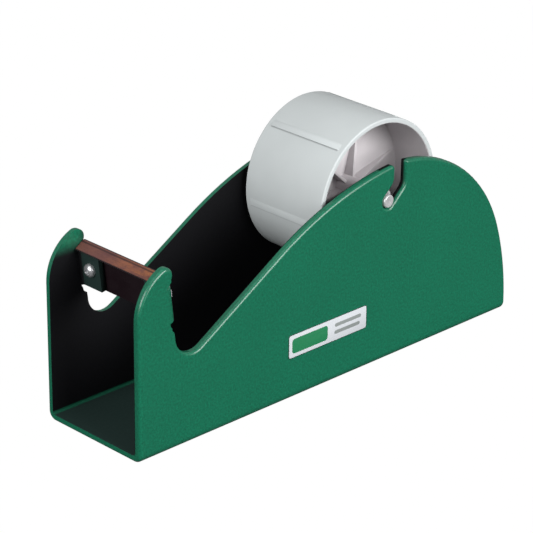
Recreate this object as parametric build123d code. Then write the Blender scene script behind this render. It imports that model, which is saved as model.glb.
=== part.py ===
"""Bench tape dispenser: a bent steel channel with two front ears that carry a toothed blade, and a
plastic drum on a steel axle that drops into a bent slot in each side panel.

Frame: +X to the rear, cutter at -X; Y across, the labelled panel at -Y; +Z up. The origin is at the
middle of the footprint, on the surface that the rubber pads stand on. Millimetres throughout.

Outlines of the side panels are drawn in (u, v): u is the distance back from the front edge and v the
height above the underside of the plate.
"""
from build123d import *
from math import asin, cos, degrees, pi, radians, sin, tan
import os

# ---- bent plate
WIDTH = 61.9             # over both panels
PLATE = 3.4              # plate thickness
BEND_OUT = 4.4           # outer radius of the floor bends
BEND_IN = BEND_OUT - PLATE
EDGE_ROUND = 1.6         # rolled-over outer edge of the blanked plate, under the paint
TAB_EDGE_ROUND = 1.0
LENGTH = 238.15

# ---- ear, outline in (u, v)
EAR_STRAIGHT = 66.6      # height where the front edge starts to lean back
EAR_ARC = 23.0           # radius of the ear's front curve
EAR_TIP_R = 4.2          # radius of the ear's rounded tip
EAR_TIP_TURN = 67.5      # degrees of front curve below the tip
EAR_TIP_END = -30.0      # heading from the tip's centre where its curve stops

# ---- blade tabs, bent in from the rear edge of each ear
TAB_LEAN = 6.8           # degrees that the tabs lean forward
TAB_REAR_U = 21.47       # rear face of the tabs at the height of the screws
SCREW_V = 70.6           # height of the screws
TAB_TOP_V = 78.6
TAB_FOOT_V = 60.8
TAB_BEND_OUT = 4.5
TAB_BEND_IN = TAB_BEND_OUT - PLATE
TAB_REACH = 12.5         # inward from the panel's inner face
TAB_ROOT = 3.0           # how far each tab's solid reaches into its panel
SCREW_INSET = 6.5        # screw axis, inward from the panel's inner face
SCREW_HOLE_R = 1.75

# ---- throat behind the ear, and the slope up to the hump
SLIT_POINT = (19.0, 59.2)
SLIT_MID = (19.6, 57.6)
THROAT_START = (21.2, 56.5)
THROAT_CENTRE = (31.5, 54.1)
THROAT_R = 9.9
SLOPE = 31.0             # heading of the straight slope
SLOPE_END = (84.0, 74.1)
CROWN_R = 170.0

# ---- hump and rear edge
SHOULDER_R = 77.0
SHOULDER_CENTRE = (158.0, 21.1)
SHOULDER_END = 19.3      # heading from its centre where the shoulder passes into the rear edge
REAR_R = 133.0

# ---- bent axle slot
SLOT_WIDTH = 7.0
SLOT_MOUTH_U = 160.1     # centre line of the upright mouth
SEAT = (152.7, 80.7)     # centre of the slot's rounded end, where the axle rests
SLOT_RISE = 43.0         # degrees, climb of the lower leg from the seat back to the mouth
SLOT_FRONT_R = 6.5       # rounding of the bend's front side
SLOT_REAR_R = 5.2        # rounding of the bend's rear side
LIP_FRONT_R = 2.0
LIP_REAR_R = 0.6

# ---- axle and drum
AXLE_R = 3.15
AXLE_LENGTH = 62.3
AXLE_CHAMFER = 0.5
RUNNING_CLEARANCE = 0.05
CLIP_GROOVE = 0.5
CLIP_THICK = 0.7
CLIP_R = 5.2
CLIP_GAP = 0.15
DRUM_R = 37.8            # shell, a little under the bore of a 76 mm core
DRUM_WIDTH = 49.0
DRUM_WALL = 2.4
DRUM_EDGE = 0.8          # chamfer at both rims
HUB_R = 5.1
HUB_WIDTH = 52.2
WEB_THICK = 3.0
GUSSETS = 6
GUSSET_FIRST = 14.5      # degrees
GUSSET_THICK = 1.5
GUSSET_TALL = 5.5        # beside the hub
GUSSET_END_R = 34.5      # where the gussets run out on the web
GRIPS = 6
GRIP_FIRST = 10.4        # degrees, at the step of the first grip
GRIP_SPREAD = 6.3        # degrees of ramp
GRIP_RISE = 0.45
GRIP_LENGTH = 43.0

# ---- blade
BLADE_THICK = 0.9
BLADE_SIDE_GAP = 0.4     # between the blade's ends and the panels
BLADE_FOOT_V = 60.2
BLADE_TOP_V = 82.6
BLADE_BEND_IN = 0.5
BLADE_LIP = 5.9          # toothed lip, from the bend to the tips
BLADE_LIP_DROP = 26.9    # degrees that the lip falls towards its teeth, off square to the flange
TOOTH_PITCH = 1.2
TOOTH_DEPTH = 0.9

# ---- M3 fasteners
SHANK_R = 1.5
SHANK_END = 5.6          # behind the blade tabs' rear face
HEAD_R = 3.2
HEAD_TALL = 2.6
HEAD_RIM = 0.9
RECESS_SPAN = 3.6
RECESS_WIDE = 0.8
RECESS_DEEP = 1.3
WASHER_R = 3.1
WASHER_THICK = 0.6
NUT_FLATS = 5.5
NUT_TALL = 2.4
THREAD_GAP = 0.02

# ---- pads and label
PAD_THICK = 3.0
PAD_LENGTH = 31.5
PAD_CORNER = 2.0
PAD_FRONT_U = 12.0
PAD_FRONT_WIDTH = 33.0
PAD_REAR_U = 194.0
PAD_REAR_WIDTH = 43.0
PAD_REAR_TURN = -8.0     # degrees, the rear pad is stuck on a little crooked
LABEL_U = 89.2
LABEL_V = 21.3
LABEL_LENGTH = 50.5
LABEL_HEIGHT = 11.8
LABEL_CORNER = 1.2
LABEL_THICK = 0.15

PANEL_TALL = 100.0       # over the height of the hump
HALF = WIDTH / 2
INNER = HALF - PLATE     # inner face of each panel


def ahead(point, heading, distance):
    """Point reached from (u, v) along a heading in degrees."""
    turn = radians(heading)
    return (point[0] + distance * cos(turn), point[1] + distance * sin(turn))


def arc(centre, radius, start, end):
    """Arc about centre between two headings from it."""
    return ThreePointArc(ahead(centre, start, radius), ahead(centre, (start + end) / 2, radius),
                         ahead(centre, end, radius))


def tab_rear_u(v):
    """Rear face of the leaning tabs at height v."""
    return TAB_REAR_U - (v - SCREW_V) * tan(radians(TAB_LEAN))


def row(u, v):
    """Position in the part's own X and Z of a point in (u, v)."""
    return (u - LENGTH / 2, v + PAD_THICK)


SIDE_PLANE = Plane(origin=(-LENGTH / 2, 0, PAD_THICK), x_dir=(1, 0, 0), z_dir=(0, -1, 0))
SEAT_X, SEAT_Z = row(*SEAT)


def hump_outline():
    """Top edge from the end of the slope over the hump and down the rear edge to the foot."""
    crown_centre = ahead(SLOPE_END, SLOPE - 90, CROWN_R)
    crown_stop = 90 + degrees(asin((crown_centre[0] - SLOT_MOUTH_U) / CROWN_R))
    shoulder_start = 90 - degrees(asin((SLOT_MOUTH_U - SHOULDER_CENTRE[0]) / SHOULDER_R))
    rear_centre = ahead(SHOULDER_CENTRE, SHOULDER_END, SHOULDER_R - REAR_R)
    foot = degrees(asin(-rear_centre[1] / REAR_R))
    arc(crown_centre, CROWN_R, SLOPE + 90, crown_stop)
    Line(ahead(crown_centre, crown_stop, CROWN_R), ahead(SHOULDER_CENTRE, shoulder_start, SHOULDER_R))
    arc(SHOULDER_CENTRE, SHOULDER_R, shoulder_start, SHOULDER_END)
    arc(rear_centre, REAR_R, SHOULDER_END, foot)
    return ahead(rear_centre, foot, REAR_R)


def side_outline():
    """Face of one panel with its ear, throat and hump, in (u, v)."""
    ear_centre = (EAR_ARC, EAR_STRAIGHT)
    tip_centre = ahead(ear_centre, 180 - EAR_TIP_TURN, EAR_ARC - EAR_TIP_R)
    tip_end = ahead(tip_centre, EAR_TIP_END, EAR_TIP_R)
    tab_top = (tab_rear_u(TAB_TOP_V) - TAB_BEND_OUT, TAB_TOP_V)
    tab_foot = (tab_rear_u(TAB_FOOT_V) - TAB_BEND_OUT, TAB_FOOT_V)
    throat_west = ahead(THROAT_CENTRE, 180, THROAT_R)
    throat_end = ahead(THROAT_CENTRE, SLOPE - 90 + 360, THROAT_R)
    with BuildSketch() as outline:
        with BuildLine():
            Line((0, 0), (0, EAR_STRAIGHT))
            arc(ear_centre, EAR_ARC, 180, 180 - EAR_TIP_TURN)
            arc(tip_centre, EAR_TIP_R, 180 - EAR_TIP_TURN, EAR_TIP_END)
            Line(tip_end, tab_top)
            Line(tab_top, tab_foot)
            Line(tab_foot, SLIT_POINT)
            ThreePointArc(SLIT_POINT, SLIT_MID, THROAT_START)
            Line(THROAT_START, throat_west)
            arc(THROAT_CENTRE, THROAT_R, 180, SLOPE - 90 + 360)
            Line(throat_end, SLOPE_END)
            foot = hump_outline()
            Line(foot, (0, 0))
        make_face()
    return outline.sketch


def slot_bend(side):
    """Sharp corner of one side of the slot: -1 the front side, 1 the rear side."""
    beside = ahead(SEAT, SLOT_RISE - side * 90, SLOT_WIDTH / 2)
    u = SLOT_MOUTH_U + side * SLOT_WIDTH / 2
    return (u, beside[1] + (u - beside[0]) * tan(radians(SLOT_RISE)))


def slot_outline():
    """Bent slot: an upright mouth from above, then a straight leg down and forward to the seat."""
    half = SLOT_WIDTH / 2
    top = PANEL_TALL + 5
    front, rear = slot_bend(-1), slot_bend(1)
    with BuildSketch() as slot:
        with BuildLine():
            Line((front[0], top), front)
            Line(front, ahead(SEAT, SLOT_RISE + 90, half))
            arc(SEAT, half, SLOT_RISE + 90, SLOT_RISE + 270)
            Line(ahead(SEAT, SLOT_RISE - 90, half), rear)
            Line(rear, (rear[0], top))
            Line((rear[0], top), (front[0], top))
        make_face()
    face = slot.sketch
    for corner, radius in ((front, SLOT_FRONT_R), (rear, SLOT_REAR_R)):
        face = fillet(face.vertices().sort_by_distance(Vector(*corner))[0], radius)
    return face


def panel_face():
    """Side outline with its slot cut and both lips of the mouth rounded."""
    face = side_outline() - slot_outline()
    for side, radius in ((-1, LIP_FRONT_R), (1, LIP_REAR_R)):
        lip = Vector(SLOT_MOUTH_U + side * SLOT_WIDTH / 2, SHOULDER_CENTRE[1] + SHOULDER_R)
        face = fillet(face.vertices().sort_by_distance(lip)[0], radius)
    return face


def channel():
    """U section of the folded plate, along the whole length."""
    outer = Plane.YZ * RectangleRounded(WIDTH, 2 * PANEL_TALL, BEND_OUT)
    inner = Plane.YZ * RectangleRounded(WIDTH - 2 * PLATE, 2 * PANEL_TALL - 2 * PLATE, BEND_IN)
    section = Pos(0, 0, PANEL_TALL + PAD_THICK) * (outer - inner)
    return extrude(section, amount=LENGTH, both=True)


def tab_frame(y):
    """Plane on the rear face of the tabs at screw height: x rearward, y across, z up the tab."""
    x, z = row(TAB_REAR_U, SCREW_V)
    lean = radians(TAB_LEAN)
    return Plane(origin=(x, y, z), x_dir=(cos(lean), 0, sin(lean)), z_dir=(-sin(lean), 0, cos(lean)))


def along_tab(u, v):
    """Distance up the leaning tab, from the height of the screws, of a point in (u, v)."""
    lean = radians(TAB_LEAN)
    return (v - SCREW_V) * cos(lean) - (u - TAB_REAR_U) * sin(lean)


def tab_ends():
    """Lower and upper end of the tabs, square to the bend where the panel's outline meets it."""
    low = along_tab(tab_rear_u(TAB_FOOT_V) - TAB_BEND_OUT, TAB_FOOT_V)
    high = along_tab(tab_rear_u(TAB_TOP_V) - TAB_BEND_OUT, TAB_TOP_V)
    return low, high


def tab(side):
    """One blade tab with its bend, for the panel on the given side of the middle."""
    low, high = tab_ends()
    bend_y = side * (HALF - TAB_BEND_OUT)
    free_y = side * (INNER - TAB_REACH)
    root = -TAB_BEND_OUT - TAB_ROOT
    diagonal = cos(pi / 4)
    with BuildSketch() as section:
        with BuildLine():
            Line((root, side * HALF), (-TAB_BEND_OUT, side * HALF))
            ThreePointArc((-TAB_BEND_OUT, side * HALF),
                          (-TAB_BEND_OUT * (1 - diagonal), bend_y + side * TAB_BEND_OUT * diagonal),
                          (0, bend_y))
            Line((0, bend_y), (0, free_y))
            Line((0, free_y), (-PLATE, free_y))
            Line((-PLATE, free_y), (-PLATE, bend_y))
            ThreePointArc((-PLATE, bend_y),
                          (-TAB_BEND_OUT + TAB_BEND_IN * diagonal, bend_y + side * TAB_BEND_IN * diagonal),
                          (-TAB_BEND_OUT, side * INNER))
            Line((-TAB_BEND_OUT, side * INNER), (root, side * INNER))
            Line((root, side * INNER), (root, side * HALF))
        make_face()
    solid = extrude(Pos(0, 0, low) * section.sketch, amount=high - low)
    return tab_frame(0).location * solid


def screw_places():
    """Across-position of both blade screws."""
    return [side * (INNER - SCREW_INSET) for side in (-1, 1)]


def screw_holes(depth):
    """Cutters for the two screw holes through tabs and blade."""
    return [tab_frame(y).location * (Rot(0, 90, 0) * Cylinder(SCREW_HOLE_R, depth)) for y in screw_places()]


def outer_rim(frame):
    """Edges of the blanked plate on its outer skin, without the lines where a bend begins."""
    skin = [f for f in frame.faces() if is_skin(f)]
    seen = {}
    for face in skin:
        for edge in face.edges():
            key = tuple(round(c, 3) for c in edge @ 0.5)
            seen[key] = seen.get(key, []) + [edge]
    return [edges[0] for edges in seen.values() if len(edges) == 1]


def beside_tab(edge):
    """True for rim edges on a tab, or on its relief cuts in the panel's outline."""
    middle = edge @ 0.5
    low, _ = row(*THROAT_START)
    behind_bend = row(tab_rear_u(TAB_TOP_V) - TAB_BEND_OUT, TAB_TOP_V)[0] - 1 < middle.X < low - 0.5
    return behind_bend and row(*THROAT_START)[1] < middle.Z < row(0, TAB_TOP_V + 4)[1]


def on_tab(edge):
    """True for rim edges of a tab and its bend, inward of the panel's outer face."""
    return beside_tab(edge) and abs((edge @ 0.5).Y) < HALF - 0.3


def is_skin(face):
    """True for faces on the outside of the folded plate: panels, bends, floor and the tabs' rear."""
    middle = face.center()
    if face.geom_type == GeomType.PLANE:
        normal = face.normal_at(middle)
        outside = abs(abs(middle.Y) - HALF) < 0.01 and abs(normal.Y) > 0.99
        below = abs(middle.Z - PAD_THICK) < 0.01 and normal.Z < -0.99
        rear = normal.X > 0 and abs(tab_frame(0).to_local_coords(middle).X) < 0.01
        return outside or below or rear
    if face.geom_type != GeomType.CYLINDER:
        return False
    return abs(face.radius - BEND_OUT) < 0.01 or abs(face.radius - TAB_BEND_OUT) < 0.01


def base_frame():
    """The folded plate: floor, both panels and both tabs."""
    frame = extrude(SIDE_PLANE * panel_face(), amount=HALF, both=True) & channel()
    for side in (-1, 1):
        frame = frame + tab(side)
    frame = fillet([e for e in outer_rim(frame) if not beside_tab(e)], EDGE_ROUND)
    frame = fillet([e for e in outer_rim(frame) if on_tab(e)], TAB_EDGE_ROUND)
    for hole in screw_holes(4 * PLATE):
        frame = frame - hole
    return frame


def blade():
    """L-section blade: a flange behind the tabs and a lip that falls forward to its teeth."""
    low = along_tab(tab_rear_u(BLADE_FOOT_V), BLADE_FOOT_V)
    high = along_tab(tab_rear_u(BLADE_TOP_V), BLADE_TOP_V)
    bend_out = BLADE_BEND_IN + BLADE_THICK
    drop = radians(BLADE_LIP_DROP)
    turn = 90 + BLADE_LIP_DROP
    centre = (BLADE_THICK - bend_out, high - bend_out)
    half_turn = turn / 2
    lip = (-cos(drop), -sin(drop))
    outer_end = ahead(centre, turn, bend_out)
    inner_end = ahead(centre, turn, BLADE_BEND_IN)
    with BuildSketch(Plane.XZ) as section:
        with BuildLine():
            Line((0, low), (BLADE_THICK, low))
            Line((BLADE_THICK, low), ahead(centre, 0, bend_out))
            ThreePointArc(ahead(centre, 0, bend_out), ahead(centre, half_turn, bend_out), outer_end)
            Line(outer_end, (outer_end[0] + BLADE_LIP * lip[0], outer_end[1] + BLADE_LIP * lip[1]))
            Line((outer_end[0] + BLADE_LIP * lip[0], outer_end[1] + BLADE_LIP * lip[1]),
                 (inner_end[0] + BLADE_LIP * lip[0], inner_end[1] + BLADE_LIP * lip[1]))
            Line((inner_end[0] + BLADE_LIP * lip[0], inner_end[1] + BLADE_LIP * lip[1]), inner_end)
            ThreePointArc(inner_end, ahead(centre, half_turn, BLADE_BEND_IN),
                          ahead(centre, 0, BLADE_BEND_IN))
            Line(ahead(centre, 0, BLADE_BEND_IN), (0, low))
        make_face()
    length = 2 * (INNER - BLADE_SIDE_GAP)
    solid = extrude(section.sketch, amount=length / 2, both=True)
    teeth = int(length / TOOTH_PITCH)
    tips = Plane(origin=(outer_end[0] + BLADE_LIP * lip[0], 0, outer_end[1] + BLADE_LIP * lip[1]),
                 x_dir=(lip[0], 0, lip[1]), z_dir=(-lip[1], 0, lip[0]))
    with BuildSketch(tips) as gaps:
        for k in range(teeth + 1):
            y = (k - teeth / 2) * TOOTH_PITCH
            with BuildLine():
                Polyline((0.2, y - TOOTH_PITCH / 2), (-TOOTH_DEPTH, y), (0.2, y + TOOTH_PITCH / 2),
                         close=True)
            make_face()
    solid = solid - extrude(gaps.sketch, amount=3 * BLADE_THICK, both=True)
    solid = tab_frame(0).location * solid
    for hole in screw_holes(4 * PLATE):
        solid = solid - hole
    return solid


def blade_screw(y):
    """Pan-head screw with a cross recess, put in from the front of the tab."""
    face = -PLATE
    with BuildSketch(Plane.XZ) as half:
        with BuildLine():
            Line((SHANK_END, 0), (SHANK_END, SHANK_R - 0.3))
            Line((SHANK_END, SHANK_R - 0.3), (SHANK_END - 0.3, SHANK_R))
            Line((SHANK_END - 0.3, SHANK_R), (face, SHANK_R))
            Line((face, SHANK_R), (face, HEAD_R))
            Line((face, HEAD_R), (face - HEAD_RIM, HEAD_R))
            ThreePointArc((face - HEAD_RIM, HEAD_R), (face - 0.84 * HEAD_TALL, 0.62 * HEAD_R),
                          (face - HEAD_TALL, 0))
            Line((face - HEAD_TALL, 0), (SHANK_END, 0))
        make_face()
    screw = revolve(half.sketch, Axis.X)
    recess = Pos(face - HEAD_TALL, 0, 0) * (Box(2 * RECESS_DEEP, RECESS_SPAN, RECESS_WIDE)
                                            + Box(2 * RECESS_DEEP, RECESS_WIDE, RECESS_SPAN))
    return tab_frame(y).location * (screw - Rot(35, 0, 0) * recess)


def blade_washer(y):
    """Plain washer between blade and nut."""
    ring = Cylinder(WASHER_R, WASHER_THICK) - Cylinder(SHANK_R + 0.1, 2 * WASHER_THICK)
    return tab_frame(y).location * (Pos(BLADE_THICK + WASHER_THICK / 2, 0, 0) * (Rot(0, 90, 0) * ring))


def blade_nut(y):
    """Hexagon nut behind the washer, its corners turned off."""
    corner_r = NUT_FLATS / 2 / cos(pi / 6)
    hexagon = extrude(RegularPolygon(corner_r, 6), amount=NUT_TALL / 2, both=True)
    turned = Cylinder(corner_r, NUT_TALL)
    turned = chamfer(turned.edges().filter_by(GeomType.CIRCLE), 0.35)
    nut = (hexagon & turned) - Cylinder(SHANK_R + THREAD_GAP, 2 * NUT_TALL)
    place = BLADE_THICK + WASHER_THICK + NUT_TALL / 2
    return tab_frame(y).location * (Pos(place, 0, 0) * (Rot(0, 90, 0) * (Rot(0, 0, 12) * nut)))


def at_seat(shape):
    """Lays a shape modelled along Z across the dispenser, on the seated axle's line."""
    return Pos(SEAT_X, 0, SEAT_Z) * (Rot(90, 0, 0) * shape)


def clip_place():
    """Distance from the middle to the middle of each retaining clip."""
    return HUB_WIDTH / 2 + CLIP_GAP + CLIP_THICK / 2


def axle():
    """Steel rod with chamfered ends and a groove for each retaining clip."""
    rod = Cylinder(AXLE_R, AXLE_LENGTH)
    rod = chamfer(rod.edges().filter_by(GeomType.CIRCLE), AXLE_CHAMFER)
    groove = Cylinder(AXLE_R + 1, CLIP_THICK + 0.04) - Cylinder(AXLE_R - CLIP_GROOVE, 2 * CLIP_THICK)
    for side in (-1, 1):
        rod = rod - Pos(0, 0, side * clip_place()) * groove
    return at_seat(rod)


def axle_clip(side):
    """Push-on retaining clip: a ring with one open side and three relieved lobes."""
    ring = Cylinder(CLIP_R, CLIP_THICK) - Cylinder(AXLE_R - CLIP_GROOVE + 0.02, 2 * CLIP_THICK)
    opening = Pos(0, -CLIP_R, 0) * Box(2 * AXLE_R * 0.82, 2 * CLIP_R, 2 * CLIP_THICK)
    clip = ring - opening
    for angle in (35, 145):
        clip = clip - Rot(0, 0, angle) * (Pos(AXLE_R + 0.5, 0, 0) * Cylinder(0.85, 2 * CLIP_THICK))
    return at_seat(Pos(0, 0, side * clip_place()) * clip)


def drum():
    """One moulding: shell with six grip ramps, middle web with gussets on both faces, and hub."""
    shell = Cylinder(DRUM_R, DRUM_WIDTH)
    shell = chamfer(shell.edges().filter_by(GeomType.CIRCLE), DRUM_EDGE)
    bore = Cylinder(DRUM_R - DRUM_WALL, DRUM_WIDTH)
    shell = shell - bore
    body = shell + Cylinder(DRUM_R - DRUM_WALL / 2, WEB_THICK)
    with BuildSketch(Plane.XZ) as wing:
        Polygon((HUB_R - 1, 0), (GUSSET_END_R, 0), (GUSSET_END_R, WEB_THICK / 2),
                (HUB_R - 1, WEB_THICK / 2 + GUSSET_TALL), align=None)
    gusset = extrude(wing.sketch, amount=GUSSET_THICK / 2, both=True)
    gusset = gusset + mirror(gusset, Plane.XY)
    for k in range(GUSSETS):
        body = body + Rot(0, 0, GUSSET_FIRST + k * 360 / GUSSETS) * gusset
    spread = radians(GRIP_SPREAD)
    with BuildSketch() as ramp:
        Polygon(((DRUM_R - 0.05) * cos(-spread), (DRUM_R - 0.05) * sin(-spread)),
                (DRUM_R + GRIP_RISE, 0), (DRUM_R - 1, 0),
                ((DRUM_R - 1) * cos(-spread), (DRUM_R - 1) * sin(-spread)), align=None)
    grip = extrude(ramp.sketch, amount=GRIP_LENGTH / 2, both=True)
    for k in range(GRIPS):
        body = body + Rot(0, 0, GRIP_FIRST + k * 360 / GRIPS) * grip
    body = body + Cylinder(HUB_R, HUB_WIDTH)
    body = body - Cylinder(AXLE_R + RUNNING_CLEARANCE, 2 * HUB_WIDTH)
    return at_seat(body)


def pad(front_u, width, turn):
    """Rubber pad stuck to the underside, across the floor."""
    x = front_u + PAD_LENGTH / 2 - LENGTH / 2
    slab = extrude(RectangleRounded(PAD_LENGTH, width, PAD_CORNER), amount=PAD_THICK)
    return Pos(x, 0, 0) * (Rot(0, 0, turn) * slab)


def side_label():
    """Stuck-on label with rounded corners, on the outer face of the panel at -Y."""
    x, z = row(LABEL_U + LABEL_LENGTH / 2, LABEL_V + LABEL_HEIGHT / 2)
    face = Plane.XZ * RectangleRounded(LABEL_LENGTH, LABEL_HEIGHT, LABEL_CORNER)
    return Pos(x, -HALF, z) * extrude(face, amount=LABEL_THICK)


def pieces():
    """Every piece of the dispenser by its node name."""
    made = {
        "base_frame": base_frame(),
        "cutter_blade": blade(),
        "axle": axle(),
        "axle_clip_left": axle_clip(-1),
        "axle_clip_right": axle_clip(1),
        "core_drum": drum(),
        "front_pad": pad(PAD_FRONT_U, PAD_FRONT_WIDTH, 0),
        "rear_pad": pad(PAD_REAR_U, PAD_REAR_WIDTH, PAD_REAR_TURN),
        "side_label": side_label(),
    }
    for name, y in zip(("left", "right"), screw_places()):
        made["blade_screw_" + name] = blade_screw(y)
        made["blade_washer_" + name] = blade_washer(y)
        made["blade_nut_" + name] = blade_nut(y)
    return made


def main():
    os.makedirs("parts", exist_ok=True)
    for node, shape in pieces().items():
        export_step(shape, f"parts/{node}.step")


main()
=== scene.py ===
"""Looks for a bench tape dispenser: enamelled steel channel, browned blade, plastic core drum on its axle."""
from math import atan2, cos, pi, radians, sin

import bmesh
import bpy
from bpy.props import FloatProperty, FloatVectorProperty, IntProperty, PointerProperty
from bpy.types import Operator, Panel, PropertyGroup
from mathutils import Matrix, Vector


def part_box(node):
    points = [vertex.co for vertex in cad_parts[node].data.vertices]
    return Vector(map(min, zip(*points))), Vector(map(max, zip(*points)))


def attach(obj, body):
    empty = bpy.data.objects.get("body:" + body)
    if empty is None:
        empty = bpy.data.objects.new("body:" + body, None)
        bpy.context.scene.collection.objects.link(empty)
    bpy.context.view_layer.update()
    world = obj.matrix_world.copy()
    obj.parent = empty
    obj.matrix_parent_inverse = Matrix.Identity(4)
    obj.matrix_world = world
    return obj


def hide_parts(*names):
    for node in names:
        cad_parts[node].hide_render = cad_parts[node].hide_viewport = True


bl_info = {
    "name": "Tape dispenser",
    "version": (1, 0, 0),
    "blender": (4, 5, 0),
    "location": "3D View > Sidebar > Dispenser",
    "description": "Makes the pieces of a bench tape dispenser round its packed frame",
    "category": "Object",
}

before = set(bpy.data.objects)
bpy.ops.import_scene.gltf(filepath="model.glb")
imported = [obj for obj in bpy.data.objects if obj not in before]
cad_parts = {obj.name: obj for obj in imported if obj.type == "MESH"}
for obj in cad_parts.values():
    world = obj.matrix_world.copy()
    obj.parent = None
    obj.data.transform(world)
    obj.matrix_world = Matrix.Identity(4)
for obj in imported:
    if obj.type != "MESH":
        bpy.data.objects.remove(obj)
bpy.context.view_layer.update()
MM = 0.001
PLATE = 3.4 * MM
WASHER = 0.6 * MM
MERGE = 1e-7


# ------------------------------------------------------------------ places read from the frame

def middle(node):
    low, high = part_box(node)
    return (low + high) / 2


def extent(node):
    low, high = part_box(node)
    return high - low


AXLE = middle("axle")


# ------------------------------------------------------------------ mesh helpers

def linked(name, data):
    """A new object in the scene."""
    thing = bpy.data.objects.new(name, data)
    bpy.context.scene.collection.objects.link(thing)
    return thing


def finished(name, mesh, material, body, slot, *nodes, smooth=30.0):
    """Links a mesh as a piece that rides on a body and stands for its CAD nodes."""
    mesh.name = name
    mesh.materials.clear()
    mesh.materials.append(material)
    if smooth is not None:
        mesh.shade_smooth()
        mesh.set_sharp_from_angle(angle=radians(smooth))
    piece = linked(name, mesh)
    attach(piece, body)
    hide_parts(*nodes)


def to_mesh(form, name="form"):
    mesh = bpy.data.meshes.new(name)
    form.to_mesh(mesh)
    form.free()
    return mesh


def joined(*meshes):
    """One mesh of several."""
    form = bmesh.new()
    for mesh in meshes:
        form.from_mesh(mesh)
    return to_mesh(form)


def skin(form, rows, round_about=False, closed=True):
    """Faces between each row of points and the next, and from the last row to the first if round about."""
    count = len(rows[0])
    for first, second in zip(rows, rows[1:] + rows[:1] if round_about else rows[1:]):
        for i in range(count if closed else count - 1):
            j = (i + 1) % count
            form.faces.new((first[i], second[i], second[j], first[j]))


def outward(form):
    """The mesh of a closed form, its faces turned outward."""
    bmesh.ops.recalc_face_normals(form, faces=form.faces)
    return to_mesh(form)


def spun(form, turn, profile):
    """A row of vertices from (radius, y) points, turned about the Y axis."""
    return [form.verts.new((r * cos(turn), y, r * sin(turn))) for r, y in profile]


def lathe(profile, steps, closed=True):
    """Turns (radius, y) points about the Y axis; closed joins the last point to the first."""
    form = bmesh.new()
    skin(form, [spun(form, 2 * pi * k / steps, profile) for k in range(steps)], True, closed)
    bmesh.ops.remove_doubles(form, verts=form.verts, dist=MERGE)
    return outward(form)


def corner(centre, radius, start, end, steps):
    """Points round an arc in a profile, both ends included."""
    points = []
    for k in range(steps + 1):
        turn = radians(start + (end - start) * k / steps)
        points.append((centre[0] + radius * cos(turn), centre[1] + radius * sin(turn)))
    return points


def prism(outline, depth, place, bevel=0.0):
    """Extrudes an outline both ways from its plane by depth and rounds its edges."""
    form = bmesh.new()
    front, back = ([form.verts.new(place(a, b, c)) for a, b in outline] for c in (depth, -depth))
    form.faces.new(front)
    form.faces.new(reversed(back))
    skin(form, [front, back])
    bmesh.ops.recalc_face_normals(form, faces=form.faces)
    if bevel:
        bmesh.ops.bevel(form, geom=list(form.edges), offset=bevel, segments=2, profile=0.5,
                        affect="EDGES", clamp_overlap=True)
    return to_mesh(form)


def smooth_copy(node):
    """A copy of a CAD node's mesh with its flat faces made whole, shaded by its large faces."""
    form = bmesh.new()
    form.from_mesh(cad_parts[node].data)
    bmesh.ops.remove_doubles(form, verts=form.verts, dist=2e-6)
    bmesh.ops.dissolve_limit(form, angle_limit=radians(0.4), verts=form.verts, edges=form.edges)
    mesh = to_mesh(form)
    mesh.shade_smooth()
    mesh.set_sharp_from_angle(angle=radians(32))
    holder = linked("holder", mesh)
    shade = holder.modifiers.new("shade", "WEIGHTED_NORMAL")
    shade.mode = "FACE_AREA"
    shade.weight = 90
    shade.keep_sharp = True
    return settled(holder)


def settled(holder):
    """The evaluated mesh of a working object, which is then removed."""
    seen = bpy.context.evaluated_depsgraph_get()
    mesh = bpy.data.meshes.new_from_object(holder.evaluated_get(seen))
    source = holder.data
    bpy.data.objects.remove(holder)
    bpy.data.meshes.remove(source)
    return mesh


# ------------------------------------------------------------------ geometry node trees

def link(tree, out_node, out_socket, in_node, in_socket):
    tree.links.new(out_node.outputs[out_socket], in_node.inputs[in_socket])


def repeat_tree(name, sockets, lay):
    """A tree that repeats its own geometry on the points that lay() makes, then merges and paints it."""
    tree = bpy.data.node_groups.new(name, "GeometryNodeTree")
    tree.interface.new_socket("Geometry", in_out="INPUT", socket_type="NodeSocketGeometry")
    tree.interface.new_socket("Geometry", in_out="OUTPUT", socket_type="NodeSocketGeometry")
    for label, kind in sockets + [("Merge", "NodeSocketFloat"), ("Material", "NodeSocketMaterial")]:
        tree.interface.new_socket(label, in_out="INPUT", socket_type=kind)
    start = tree.nodes.new("NodeGroupInput")
    end = tree.nodes.new("NodeGroupOutput")
    place = tree.nodes.new("GeometryNodeInstanceOnPoints")
    real = tree.nodes.new("GeometryNodeRealizeInstances")
    merge = tree.nodes.new("GeometryNodeMergeByDistance")
    paint = tree.nodes.new("GeometryNodeSetMaterial")
    lay(tree, start, place)
    link(tree, start, "Geometry", place, "Instance")
    link(tree, place, "Instances", real, "Geometry")
    link(tree, real, "Geometry", merge, "Geometry")
    link(tree, start, "Merge", merge, "Distance")
    link(tree, merge, "Geometry", paint, "Geometry")
    link(tree, start, "Material", paint, "Material")
    link(tree, paint, "Geometry", end, "Geometry")
    for k, step in enumerate((start, place, real, merge, paint, end)):
        step.location = (k * 220, 0)
    return tree


def row_tree():
    """Repeats a piece along a straight row."""
    def lay(tree, start, place):
        line = tree.nodes.new("GeometryNodeMeshLine")
        line.location = (100, -200)
        link(tree, start, "Count", line, "Count")
        link(tree, start, "Start", line, "Start Location")
        link(tree, start, "Step", line, "Offset")
        link(tree, line, "Mesh", place, "Points")
    sockets = [("Count", "NodeSocketInt"), ("Start", "NodeSocketVector"), ("Step", "NodeSocketVector")]
    return repeat_tree("Row of pieces", sockets, lay)


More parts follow.
